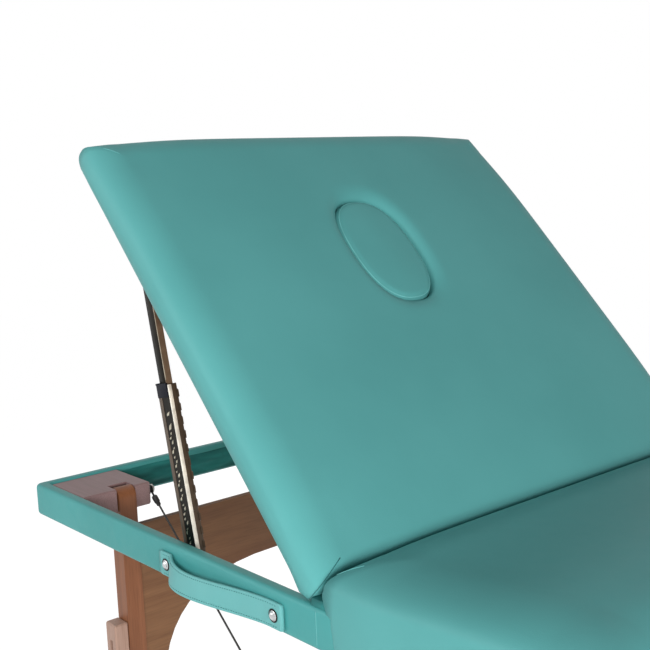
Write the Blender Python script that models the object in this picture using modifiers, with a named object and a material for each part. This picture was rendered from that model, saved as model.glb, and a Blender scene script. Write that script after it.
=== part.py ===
"""Folding massage table with a raised backrest, standing on its eight legs. Metres, +Z up.

The origin is on the floor under the middle of the fold. X runs along the table, with the head end at -X.
Y runs across it, with the carrying handles on the -Y side.
"""

import math

import bmesh
import bpy
from mathutils import Matrix, Vector

# Overall sizes
HALF_LENGTH = 1.000
WIDTH = 0.700
RAIL_TOP = 0.641
RAIL_HEIGHT = 0.045
RAIL_THICKNESS = 0.018
DECK_THICKNESS = 0.008
PAD_THICKNESS = 0.0505
GAP = 0.0003

# Fold at the middle of the table
FOLD_CLEARANCE = 0.0036
FOLD_AXIS_DROP = 0.0005
FOLD_KNUCKLE_RADIUS = 0.0031
FOLD_LEAF_THICKNESS = 0.0012
FOLD_LEAF_HEIGHT = 0.030
FOLD_HINGE_LENGTH = 0.560
FOLD_PIN_RADIUS = 0.0014
FOLD_PIN_CLEARANCE = 0.0003
PAD_FOLD_GAP = 0.001

# Backrest
BACKREST_LENGTH = 0.611
BACKREST_TILT = math.radians(47.1)
BACKREST_AXIS_RISE = 0.0046
BOARD_MARGIN = 0.012
BOARD_START = 0.006
BACKREST_PAD_OVERHANG = 0.006
HINGE_KNUCKLE_RADIUS = 0.005
HINGE_LEAF_LENGTH = 0.600
HINGE_LEAF_WIDTH = 0.034
HINGE_LEAF_THICKNESS = 0.0012
DECK_HINGE_CLEARANCE = 0.0006
SEAT_PAD_SETBACK = 0.043

# Cushion form
PAD_CROWN = 0.004
PAD_PULL = 0.003
PAD_EDGE = 0.016
PAD_EDGE_STEPS = 3
PAD_CUTS = 8
SEAT_ROLL = 0.020

# Face hole and its plug
FACE_HOLE_CENTRE = 0.387
FACE_HOLE_LENGTH = 0.176
FACE_HOLE_WIDTH = 0.114
FACE_PLUG_CLEARANCE = 0.0008
FACE_LEDGE = 0.012
FACE_PLUG_EDGE = 0.010
OVAL_STEPS = 40

# Legs: the end pairs stand outside, the inner pairs nest inside them
FOOT_LEVEL = 0.0
END_PIVOT_INSET = 0.106
END_PIVOT_DROP = 0.016
END_LEG_DEPTH = 0.028
LEG_WIDTH = 0.027
HEAD_LEG_INNER_FACE = 0.252
FOOT_LEG_INNER_FACE = 0.228
END_LEG_LENGTH = 0.420
INNER_PIVOT_INSET = 0.270
INNER_PIVOT_DROP = 0.031
INNER_LEG_DEPTH = 0.024
HEAD_INNER_LEG_FACE = 0.190
FOOT_INNER_LEG_FACE = 0.166
INNER_LEG_LENGTH = 0.545
PIVOT_RADIUS = 0.004
PIVOT_CLEARANCE = 0.0003

# Leg extensions, clamped by a knob through a slot
EXTENSION_WIDTH = 0.0215
EXTENSION_TOP = 0.444
EXTENSION_UP = 0.055
EXTENSION_DOWN = 0.090
SLOT_WIDTH = 0.0072
PEG_RADIUS = 0.0033
PEG_HEIGHT = 0.325
KNOB_HEIGHT = 0.265
KNOB_RADIUS = 0.0128
KNOB_LOBE = 0.0012
KNOB_LOBES = 5
KNOB_THICKNESS = 0.019
STUD_RADIUS = 0.003
STUD_DEPTH = 0.014
SLOT_END_CLEARANCE = 0.001

# Leg blocks and bearers
BLOCK_LENGTH = 0.098
BLOCK_HEIGHT = 0.033
BLOCK_CHEEK = 0.0245
SLOT_SIDE_CLEARANCE = 0.0015
BLOCK_SLOT_DEPTH = 0.027
BOLT_END_LENGTH = 0.010
BEARER_HEIGHT = 0.040
BEARER_NOSE = 0.012

# Arch panels and cross boards
PANEL_THICKNESS = 0.010
PANEL_FORWARD = 0.003
PANEL_TOP_DROP = 0.061
PANEL_BOTTOM_DROP = 0.345
ARCH_CROWN_DROP = 0.158
ARCH_LEG_WIDTH = 0.0295
ARCH_POWER = 2.7
ARCH_STEPS = 24
CROSS_BOARD_DROP = 0.035
CROSS_BOARD_HEIGHT = 0.065
CROSS_BOARD_THICKNESS = 0.014

# Stay cables
CABLE_RADIUS = 0.0015
FERRULE_RADIUS = 0.003
FERRULE_LENGTH = 0.028
CABLE_ANCHOR_RISE = 0.025
CABLE_ANCHOR_LENGTH = 0.010
CABLE_SIDE_GAP = 0.0055

# Backrest struts
STRUT_RAIL_GAP = 0.0133
STRUT_FOOT_FROM_HINGE = 0.245
STRUT_FOOT_DROP = 0.022
STRUT_HEAD_FROM_HINGE = 0.4404
STRUT_HEAD_DROP = 0.022
CHANNEL_WIDTH = 0.0125
CHANNEL_DEPTH = 0.0245
CHANNEL_SIDE_WALL = 0.0014
CHANNEL_EDGE_WALL = 0.0044
CHANNEL_LENGTH = 0.207
CHANNEL_TAIL = 0.012
CHANNEL_MOUTH_DEPTH = 0.024
CHANNEL_MOUTH_WIDTH = 0.0095
BAR_CLEARANCE = 0.0004
BAR_TOP = 0.008
BAR_FOOT_CLEARANCE = 0.004
STRUT_PIN_RADIUS = 0.0035
LUG_THICKNESS = 0.0038
LUG_WIDTH = 0.040
LUG_TAIL = 0.012
LUG_GAP = 0.0004

# Carrying handles
HANDLE_FROM_FOLD = 0.531
HANDLE_LENGTH = 0.238
HANDLE_TAB = 0.030
HANDLE_BOW = 0.018
HANDLE_THICKNESS = 0.004
HANDLE_HEIGHT = 0.030
HANDLE_RISE = 0.019
HANDLE_STEPS = 14

EDGE_ROUND = 0.002
ROUND_STEPS = 16
OVERCUT = 0.004
WELD = 1e-6

# Levels and places that follow from the sizes above
RAIL_BOTTOM = RAIL_TOP - RAIL_HEIGHT
DECK_BOTTOM = RAIL_TOP + GAP
PAD_BOTTOM = DECK_BOTTOM + DECK_THICKNESS + GAP
SIDE_FACE = WIDTH / 2
SIDE_INNER = SIDE_FACE - RAIL_THICKNESS
END_INNER = HALF_LENGTH - RAIL_THICKNESS
FOLD_AXIS_Z = RAIL_BOTTOM - FOLD_AXIS_DROP
HINGE_X = -(HALF_LENGTH - BACKREST_LENGTH)
HINGE_Z = RAIL_TOP + BACKREST_AXIS_RISE
END_PIVOT_X = HALF_LENGTH - END_PIVOT_INSET
END_PIVOT_Z = RAIL_TOP - END_PIVOT_DROP
INNER_PIVOT_Z = RAIL_TOP - INNER_PIVOT_DROP
STRUT_FOOT_X = HINGE_X - STRUT_FOOT_FROM_HINGE
STRUT_FOOT_Z = RAIL_TOP - STRUT_FOOT_DROP
STRUT_Y = SIDE_INNER - STRUT_RAIL_GAP - CHANNEL_WIDTH / 2
CABLE_ANCHOR_DROP = INNER_LEG_LENGTH - CABLE_ANCHOR_RISE
SIDES = {"near": -1, "far": 1}

for stale in list(bpy.data.objects):
    bpy.data.objects.remove(stale)
parts = bpy.data.collections.new("folding_massage_table")
cutters = bpy.data.collections.new("cutters")
bpy.context.scene.collection.children.link(parts)
bpy.context.scene.collection.children.link(cutters)
cutters.hide_render = True


def material(name, colour, roughness, metallic=0.0):
    made = bpy.data.materials.new(name)
    made.use_nodes = True
    shader = made.node_tree.nodes["Principled BSDF"]
    shader.inputs["Base Color"].default_value = (*colour, 1)
    shader.inputs["Roughness"].default_value = roughness
    shader.inputs["Metallic"].default_value = metallic
    return made


VINYL = ((0.07, 0.30, 0.27), 0.45)
BEECH = ((0.45, 0.20, 0.10), 0.55)
PALE_WOOD = ((0.58, 0.36, 0.28), 0.60)
PLYWOOD = ((0.40, 0.20, 0.10), 0.60)
STEEL = ((0.55, 0.53, 0.48), 0.30, 1.0)
BLACK = ((0.02, 0.02, 0.02), 0.50)


def body(name, place, parent=None, turn=0.0):
    """An empty on a joint's axis, which carries the pieces that move together."""
    empty = bpy.data.objects.new(name, None)
    parts.objects.link(empty)
    if parent:
        empty.parent = parent
        place = Vector(place) - parent.location
    empty.location = place
    empty.rotation_euler = (0, turn, 0)
    return empty


def add(name, mesh, look, carrier, collection=parts):
    """A mesh in the carrier's own frame becomes a named piece."""
    piece = bpy.data.objects.new(name, mesh)
    collection.objects.link(piece)
    piece.parent = carrier
    if look:
        mesh.materials.clear()
        mesh.materials.append(material(name, *look))
    return piece


def local(carrier, low, high):
    """World corners as the carrier, which isn't turned, sees them."""
    origin = carrier.location + (carrier.parent.location if carrier.parent else Vector())
    return Vector(low) - origin, Vector(high) - origin


def box_mesh(name, low, high, cuts=0):
    low = Vector(low)
    high = Vector(high)
    shape = bmesh.new()
    bmesh.ops.create_cube(shape, size=1.0)
    if cuts:
        level = [e for e in shape.edges if e.verts[0].co.z == e.verts[1].co.z]
        bmesh.ops.subdivide_edges(shape, edges=level, cuts=cuts, use_grid_fill=True)
    for vertex in shape.verts:
        for axis in range(3):
            vertex.co[axis] = low[axis] + (vertex.co[axis] + 0.5) * (high[axis] - low[axis])
    mesh = bpy.data.meshes.new(name)
    shape.to_mesh(mesh)
    shape.free()
    return mesh


def rounded(piece, width=EDGE_ROUND, steps=1):
    bevel = piece.modifiers.new("edges", "BEVEL")
    bevel.width = width
    bevel.segments = steps
    bevel.limit_method = "ANGLE"
    return piece


def box(name, low, high, look, carrier, edge=EDGE_ROUND):
    """A box given by its world corners."""
    low, high = local(carrier, low, high)
    piece = add(name, box_mesh(name, low, high), look, carrier)
    if edge:
        rounded(piece, edge)
    return piece


def helper(name, mesh, carrier):
    piece = add(name, mesh, None, carrier, cutters)
    piece.hide_render = True
    piece.display_type = "WIRE"
    return piece


def box_helper(name, low, high, carrier):
    low, high = local(carrier, low, high)
    return helper(name, box_mesh(name, low, high), carrier)


def rod_mesh(name, radius, start, end, steps=ROUND_STEPS):
    """A round rod between two points."""
    start = Vector(start)
    run = Vector(end) - start
    shape = bmesh.new()
    bmesh.ops.create_cone(
        shape, cap_ends=True, segments=steps, radius1=radius, radius2=radius, depth=run.length
    )
    turn = Vector((0, 0, 1)).rotation_difference(run).to_matrix().to_4x4()
    bmesh.ops.transform(shape, matrix=Matrix.Translation(start + run / 2) @ turn, verts=shape.verts)
    mesh = bpy.data.meshes.new(name)
    shape.to_mesh(mesh)
    shape.free()
    return mesh


def rod_helper(name, radius, start, end, carrier):
    start, end = local(carrier, start, end)
    return helper(name, rod_mesh(name, radius, start, end), carrier)


def combine(piece, other, operation):
    change = piece.modifiers.new(other.name, "BOOLEAN")
    change.operation = operation
    change.solver = "EXACT"
    change.object = other
    return piece


def cut(piece, other):
    return combine(piece, other, "DIFFERENCE")


def join(piece, other):
    return combine(piece, other, "UNION")


def outline_mesh(name, points, depth, axes):
    """A flat outline made depth thick. axes are the directions of its width, its height and its depth."""
    curve = bpy.data.curves.new(name, "CURVE")
    curve.dimensions = "2D"
    curve.fill_mode = "BOTH"
    curve.extrude = depth / 2
    spline = curve.splines.new("POLY")
    spline.points.add(len(points) - 1)
    for point, (across, up) in zip(spline.points, points):
        point.co = (across, up, 0, 1)
    spline.use_cyclic_u = True
    guide = bpy.data.objects.new(name, curve)
    parts.objects.link(guide)
    graph = bpy.context.evaluated_depsgraph_get()
    mesh = bpy.data.meshes.new_from_object(guide.evaluated_get(graph))
    bpy.data.objects.remove(guide)
    shape = bmesh.new()
    shape.from_mesh(mesh)
    bmesh.ops.remove_doubles(shape, verts=shape.verts, dist=WELD)
    bmesh.ops.transform(shape, matrix=Matrix(axes).transposed().to_4x4(), verts=shape.verts)
    bmesh.ops.recalc_face_normals(shape, faces=shape.faces)
    shape.to_mesh(mesh)
    shape.free()
    return mesh


ALONG = ((1, 0, 0), (0, 0, 1), (0, -1, 0))
ACROSS = ((0, 1, 0), (0, 0, 1), (1, 0, 0))
LEVEL = ((1, 0, 0), (0, 1, 0), (0, 0, 1))


def cushion_mesh(name, low, high, roll=0.0):
    """A pad with a crowned top and sides drawn in between its corners. roll lowers its -X top edge."""
    mesh = box_mesh(name, low, high, PAD_CUTS)
    low = Vector(low)
    high = Vector(high)
    middle = (low + high) / 2
    half = (high - low) / 2
    for vertex in mesh.vertices:
        a, b, c = ((vertex.co[i] - middle[i]) / half[i] for i in range(3))
        top = max(c, 0)
        vertex.co.z += top * PAD_CROWN * (1 - a * a) * (1 - b * b)
        vertex.co.z -= top * roll * max(-a - 0.4, 0) / 0.6
        vertex.co.x -= a * PAD_PULL * (1 - b * b)
        vertex.co.y -= b * PAD_PULL * (1 - a * a)
    return mesh


def cushion(name, low, high, carrier, roll=0.0):
    pad = add(name, cushion_mesh(name, low, high, roll), VINYL, carrier)
    return rounded(pad, PAD_EDGE, PAD_EDGE_STEPS)


def oval_helper(name, length, width, low, high, carrier):
    """An oval post along the carrier's Z, centred on the face hole."""
    mesh = rod_mesh(name, 0.5, (0, 0, low), (0, 0, high), OVAL_STEPS)
    for vertex in mesh.vertices:
        vertex.co.x = vertex.co.x * length - FACE_HOLE_CENTRE
        vertex.co.y *= width
    return helper(name, mesh, carrier)


head = body("head_half", (0, 0, 0))
foot = body("foot_half", (0, 0, FOLD_AXIS_Z))
HALVES = {"head": (head, -1), "foot": (foot, 1)}


def span(side, inner, outer):
    """Low and high ends of a stretch given by its distances from the middle."""
    return sorted((side * inner, side * outer))


def rails(half, carrier, side):
    """The rectangular frame of one half: two side rails, the end rail and the rail along the fold."""
    x_low, x_high = span(side, FOLD_CLEARANCE, HALF_LENGTH)
    made = {}
    for where, across in SIDES.items():
        y_low, y_high = span(across, SIDE_INNER, SIDE_FACE)
        name = f"{half}_{where}_rail"
        made[where] = box(
            name, (x_low, y_low, RAIL_BOTTOM), (x_high, y_high, RAIL_TOP), VINYL, carrier
        )
    reach = SIDE_INNER - GAP
    for where, inner in (("end", END_INNER), ("fold", FOLD_CLEARANCE)):
        x_low, x_high = span(side, inner, inner + RAIL_THICKNESS)
        name = f"{half}_{where}_rail"
        made[where] = box(
            name, (x_low, -reach, RAIL_BOTTOM), (x_high, reach, RAIL_TOP), VINYL, carrier
        )
    return made


def end_leg_faces(half):
    inner = HEAD_LEG_INNER_FACE if half == "head" else FOOT_LEG_INNER_FACE
    return inner, inner + LEG_WIDTH


def inner_leg_faces(half):
    inner = HEAD_INNER_LEG_FACE if half == "head" else FOOT_INNER_LEG_FACE
    return inner, inner + LEG_WIDTH


def leg_block(half, carrier, side, where, across):
    """The forked block at a corner of the frame, with the bolt that the end leg turns on."""
    inner, outer = end_leg_faces(half)
    cheek = inner - SLOT_SIDE_CLEARANCE - BLOCK_CHEEK
    x_low, x_high = span(side, END_INNER - BLOCK_LENGTH, END_INNER - GAP)
    y_low, y_high = span(across, cheek, SIDE_INNER - GAP)
    top = RAIL_TOP - EDGE_ROUND
    name = f"{half}_{where}_leg_block"
    block = box(name, (x_low, y_low, top - BLOCK_HEIGHT), (x_high, y_high, top), PALE_WOOD, carrier)
    mouth = END_INNER - BLOCK_LENGTH
    x_low, x_high = span(side, mouth - OVERCUT, mouth + BLOCK_SLOT_DEPTH)
    y_low, y_high = span(across, inner - SLOT_SIDE_CLEARANCE, outer + SLOT_SIDE_CLEARANCE)
    low = (x_low, y_low, top - BLOCK_HEIGHT - OVERCUT)
    cut(block, box_helper(name + "_slot", low, (x_high, y_high, top + OVERCUT), carrier))
    start = (side * END_PIVOT_X, across * (cheek - BOLT_END_LENGTH), END_PIVOT_Z)
    end = (side * END_PIVOT_X, across * (outer + BLOCK_CHEEK / 2), END_PIVOT_Z)
    return join(block, rod_helper(name + "_bolt", PIVOT_RADIUS, start, end, carrier))


def bearers(half, carrier, side, fold_rail):
    """The two forked bearers of the fold rail, with the bolts that the inner legs turn on."""
    inner, outer = inner_leg_faces(half)
    top = RAIL_TOP - EDGE_ROUND
    root = FOLD_CLEARANCE + RAIL_THICKNESS
    for where, across in SIDES.items():
        name = f"{half}_{where}_bearer"
        x_low, x_high = span(side, root - EDGE_ROUND, INNER_PIVOT_INSET + BEARER_NOSE)
        slot_low, slot_high = inner - SLOT_SIDE_CLEARANCE, outer + SLOT_SIDE_CLEARANCE
        y_low, y_high = span(across, slot_low - BLOCK_CHEEK, slot_high + BLOCK_CHEEK)
        low = (x_low, y_low, top - BEARER_HEIGHT)
        fork = box_helper(name, low, (x_high, y_high, top), carrier)
        slot_end = INNER_PIVOT_INSET - BLOCK_SLOT_DEPTH
        x_low, x_high = span(side, slot_end, INNER_PIVOT_INSET + BEARER_NOSE + OVERCUT)
        y_low, y_high = span(across, slot_low, slot_high)
        low = (x_low, y_low, top - BEARER_HEIGHT - OVERCUT)
        cut(fork, box_helper(name + "_slot", low, (x_high, y_high, top + OVERCUT), carrier))
        join(fold_rail, fork)
        start = (side * INNER_PIVOT_INSET, across * (slot_low - BLOCK_CHEEK / 2), INNER_PIVOT_Z)
        end = (side * INNER_PIVOT_INSET, across * (slot_high + BLOCK_CHEEK / 2), INNER_PIVOT_Z)
        join(fold_rail, rod_helper(name + "_bolt", PIVOT_RADIUS, start, end, carrier))


def fold_leaf(half, carrier, side):
    """One leaf of the fold hinge, on the face of its rail. The head leaf holds the pin, the foot leaf the sleeve."""
    name = f"fold_hinge_{half}_leaf"
    x_low, x_high = span(side, FOLD_CLEARANCE - GAP - FOLD_LEAF_THICKNESS, FOLD_CLEARANCE - GAP)
    reach = FOLD_HINGE_LENGTH / 2
    low = (x_low, -reach, FOLD_AXIS_Z)
    leaf = box(name, low, (x_high, reach, FOLD_AXIS_Z + FOLD_LEAF_HEIGHT), STEEL, carrier, 0)
    sleeve = reach / 3
    ends = [(-reach, -sleeve - GAP), (sleeve + GAP, reach)] if half == "head" else [(-sleeve, sleeve)]
    gaps = [(-sleeve - GAP, sleeve + GAP)] if half == "head" else [
        (-reach - OVERCUT, -sleeve),
        (sleeve, reach + OVERCUT),
    ]
    axis = (0, 0, FOLD_AXIS_Z)
    for start, end in gaps:
        low = (-FOLD_CLEARANCE, start, FOLD_AXIS_Z - OVERCUT)
        high = (FOLD_CLEARANCE, end, FOLD_AXIS_Z + FOLD_KNUCKLE_RADIUS + GAP)
        cut(leaf, box_helper(f"{name}_notch_{start:.3f}", low, high, carrier))
    for start, end in ends:
        along = [Vector(axis) + Vector((0, y, 0)) for y in (start, end)]
        knuckle = rod_helper(f"{name}_knuckle_{start:.3f}", FOLD_KNUCKLE_RADIUS, *along, carrier)
        join(leaf, knuckle)
    if half == "head":
        along = [Vector(axis) + Vector((0, y, 0)) for y in (-reach, reach)]
        join(leaf, rod_helper(name + "_pin", FOLD_PIN_RADIUS, *along, carrier))
    else:
        along = [Vector(axis) + Vector((0, y, 0)) for y in (-reach, reach)]
        bore = FOLD_PIN_RADIUS + FOLD_PIN_CLEARANCE
        cut(leaf, rod_helper(name + "_bore", bore, *along, carrier))


def handle(half, carrier, side):
    """A strap that bows out from the near rail between two tabs."""
    name = f"{half}_handle"
    inner = -SIDE_FACE - GAP
    reach = HANDLE_LENGTH / 2
    bow = reach - HANDLE_TAB
    middle = side * HANDLE_FROM_FOLD
    outward = []
    for step in range(HANDLE_STEPS + 1):
        share = step / HANDLE_STEPS
        rise = math.sin(math.pi * share) ** 2
        outward.append((middle - bow + 2 * bow * share, inner - HANDLE_BOW * rise))
    back = [(middle - reach, inner), *outward, (middle + reach, inner)]
    front = [(x, y - HANDLE_THICKNESS) for x, y in reversed(back)]
    mesh = outline_mesh(name, back + front, HANDLE_HEIGHT, LEVEL)
    centre = RAIL_BOTTOM + HANDLE_RISE
    shift = local(carrier, (0, 0, centre), (0, 0, centre))[0]
    mesh.transform(Matrix.Translation(shift))
    add(name, mesh, VINYL, carrier)


def top_of_half(half, carrier, side, inner, pad_inner, pad_name, deck_name, roll):
    """The plywood deck on the rails and the cushion on it. inner is the deck's edge away from the fold."""
    x_low, x_high = span(side, FOLD_CLEARANCE, inner)
    reach = SIDE_FACE - EDGE_ROUND
    low = (x_low, -reach, DECK_BOTTOM)
    box(deck_name, low, (x_high, reach, DECK_BOTTOM + DECK_THICKNESS), PLYWOOD, carrier, 0)
    x_low, x_high = span(side, PAD_FOLD_GAP, pad_inner)
    low, high = local(
        carrier, (x_low, -SIDE_FACE, PAD_BOTTOM), (x_high, SIDE_FACE, PAD_BOTTOM + PAD_THICKNESS)
    )
    cushion(pad_name, low, high, carrier, roll)


def leg_mesh(name, depth, length):
    """An upper leg in the frame of its pivot: a bar with a round top."""
    radius = depth / 2
    arc = [math.pi * step / ROUND_STEPS for step in range(ROUND_STEPS + 1)]
    points = [(radius * math.cos(turn), radius * math.sin(turn)) for turn in arc]
    points += [(-radius, -length), (radius, -length)]
    return outline_mesh(name, points, LEG_WIDTH, ALONG)


def rod_in(name, radius, place, start, end, carrier):
    """A helper rod along Y at a place given in the carrier's frame."""
    x, z = place
    return helper(name, rod_mesh(name, radius, (x, start, z), (x, end, z)), carrier)


def knob_mesh(outward):
    """A lobed clamp knob with its stud, in the frame of the stud's axis. outward is its side along Y."""
    count = KNOB_LOBES * 6
    points = []
    for step in range(count):
        turn = 2 * math.pi * step / count
        radius = KNOB_RADIUS + KNOB_LOBE * math.cos(KNOB_LOBES * turn)
        points.append((radius * math.cos(turn), radius * math.sin(turn)))
    mesh = outline_mesh("knob", points, KNOB_THICKNESS, ALONG)
    mesh.transform(Matrix.Translation((0, outward * (GAP + KNOB_THICKNESS / 2), 0)))
    return mesh


def leg(pair, where, across, carrier, pivot_z, depth, length, inner, extension_outside):
    """One leg: the upper leg, its sliding extension and the knob that clamps them."""
    name = f"{pair}_{where}_leg"
    out = across if extension_outside else -across
    middle = across * (inner + LEG_WIDTH / 2)
    mesh = leg_mesh(name, depth, length)
    mesh.transform(Matrix.Translation((0, middle, 0)))
    upper = add(name, mesh, BEECH, carrier)
    reach = (middle - LEG_WIDTH, middle + LEG_WIDTH)
    cut(upper, rod_in(name + "_bore", PIVOT_RADIUS + PIVOT_CLEARANCE, (0, 0), *reach, carrier))
    face = middle + out * LEG_WIDTH / 2
    knob_z = KNOB_HEIGHT - pivot_z
    hole = (face - out * (STUD_DEPTH + GAP), face + out * OVERCUT)
    cut(upper, rod_in(name + "_stud_hole", STUD_RADIUS + GAP, (0, knob_z), *hole, carrier))
    peg = (face - out * EDGE_ROUND, face + out * EXTENSION_WIDTH)
    join(upper, rod_in(name + "_peg", PEG_RADIUS, (0, PEG_HEIGHT - pivot_z), *peg, carrier))

    slide = body(f"{pair}_{where}_slide", (0, 0, 0))
    slide.parent = carrier
    near_face = face + out * GAP
    y_low, y_high = sorted((near_face, near_face + out * EXTENSION_WIDTH))
    low = (-depth / 2, y_low, FOOT_LEVEL - pivot_z)
    high = (depth / 2, y_high, EXTENSION_TOP - pivot_z)
    extension_name = f"{pair}_{where}_extension"
    extension = add(extension_name, box_mesh(extension_name, low, high), PALE_WOOD, slide)
    rounded(extension)
    slot_top = PEG_HEIGHT + EXTENSION_DOWN + PEG_RADIUS + SLOT_END_CLEARANCE - pivot_z
    slot_bottom = KNOB_HEIGHT - EXTENSION_UP - STUD_RADIUS - SLOT_END_CLEARANCE - pivot_z
    low = (-SLOT_WIDTH / 2, y_low - OVERCUT, slot_bottom)
    high = (SLOT_WIDTH / 2, y_high + OVERCUT, slot_top)
    cut(extension, helper(name + "_slot", box_mesh(name + "_slot", low, high), slide))

    knob_name = f"{pair}_{where}_knob"
    turn = body(f"{pair}_{where}_turn", (0, 0, 0))
    turn.parent = carrier
    outer_face = near_face + out * EXTENSION_WIDTH
    turn.location = (0, outer_face, knob_z)
    knob = add(knob_name, knob_mesh(out), BLACK, turn)
    stud_end = -out * (EXTENSION_WIDTH + GAP + STUD_DEPTH)
    join(knob, rod_in(knob_name + "_stud", STUD_RADIUS, (0, 0), stud_end, out * OVERCUT, turn))
    return upper


def arch_panel(pair, carrier, toward_middle, inner):
    """The plywood panel between two end legs, with a wide arch cut in its lower edge."""
    name = f"{pair}_arch_panel"
    top = END_PIVOT_DROP - PANEL_TOP_DROP
    bottom = END_PIVOT_DROP - PANEL_BOTTOM_DROP
    crown = END_PIVOT_DROP - ARCH_CROWN_DROP
    reach = inner - GAP
    points = [(-reach, bottom), (-reach, top), (reach, top), (reach, bottom)]
    for step in range(ARCH_STEPS + 1):
        turn = math.pi * step / ARCH_STEPS
        across = math.copysign(abs(math.cos(turn)) ** (2 / ARCH_POWER), math.cos(turn))
        up = abs(math.sin(turn)) ** (2 / ARCH_POWER)
        points.append(((inner - ARCH_LEG_WIDTH) * across, bottom + (crown - bottom) * up))
    mesh = outline_mesh(name, points, PANEL_THICKNESS, ACROSS)
    mesh.transform(Matrix.Translation((toward_middle * PANEL_FORWARD, 0, 0)))
    add(name, mesh, PLYWOOD, carrier)


def end_legs(half, parent, side):
    pair = f"{half}_end"
    carrier = body(pair + "_legs", (side * END_PIVOT_X, 0, END_PIVOT_Z), parent)
    inner = end_leg_faces(half)[0]
    for where, across in SIDES.items():
        leg(pair, where, across, carrier, END_PIVOT_Z, END_LEG_DEPTH, END_LEG_LENGTH, inner, True)
    arch_panel(pair, carrier, -side, inner)


def inner_legs(half, parent, side):
    pair = f"{half}_inner"
    carrier = body(pair + "_legs", (side * INNER_PIVOT_INSET, 0, INNER_PIVOT_Z), parent)
    inner, outer = inner_leg_faces(half)
    for where, across in SIDES.items():
        upper = leg(
            pair, where, across, carrier, INNER_PIVOT_Z, INNER_LEG_DEPTH, INNER_LEG_LENGTH, inner, False
        )
        face = across * outer
        anchor = (face - across * EDGE_ROUND, face + across * CABLE_ANCHOR_LENGTH)
        name = f"{pair}_{where}_anchor"
        join(upper, rod_in(name, STUD_RADIUS, (0, -CABLE_ANCHOR_DROP), *anchor, carrier))
    reach = inner - GAP
    name = f"{pair}_cross_board"
    low = (-CROSS_BOARD_THICKNESS / 2, -reach, -CROSS_BOARD_DROP - CROSS_BOARD_HEIGHT)
    high = (CROSS_BOARD_THICKNESS / 2, reach, -CROSS_BOARD_DROP)
    rounded(add(name, box_mesh(name, low, high), PLYWOOD, carrier))


def cable(half, parent, side, where, across):
    """A stay from the end leg's bolt to the foot of the inner leg, with a ferrule at each end."""
    bolt_side = end_leg_faces(half)[0] - SLOT_SIDE_CLEARANCE - BLOCK_CHEEK - BOLT_END_LENGTH / 2
    leg_side = inner_leg_faces(half)[1] + CABLE_ANCHOR_LENGTH / 2
    bolt = Vector((side * END_PIVOT_X, across * bolt_side, END_PIVOT_Z))
    anchor_z = INNER_PIVOT_Z - CABLE_ANCHOR_DROP
    anchor = Vector((side * INNER_PIVOT_INSET, across * leg_side, anchor_z))
    run = (anchor - bolt).normalized()
    start = bolt + run * (PIVOT_RADIUS + GAP)
    end = anchor - run * (STUD_RADIUS + GAP)
    step = run * FERRULE_RADIUS
    thick = FERRULE_RADIUS / CABLE_RADIUS
    route = [
        (start, thick),
        (start + run * FERRULE_LENGTH, thick),
        (start + run * FERRULE_LENGTH + step, 1),
        (end - run * FERRULE_LENGTH - step, 1),
        (end - run * FERRULE_LENGTH, thick),
        (end, thick),
    ]
    name = f"{half}_{where}_cable"
    curve = bpy.data.curves.new(name, "CURVE")
    curve.dimensions = "3D"
    curve.bevel_depth = CABLE_RADIUS
    curve.bevel_resolution = 2
    curve.use_fill_caps = True
    spline = curve.splines.new("POLY")
    spline.points.add(len(route) - 1)
    for point, (place, radius) in zip(spline.points, route):
        point.co = (*local(parent, place, place)[0], 1)
        point.radius = radius
    add(name, curve, BLACK, parent)


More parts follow.
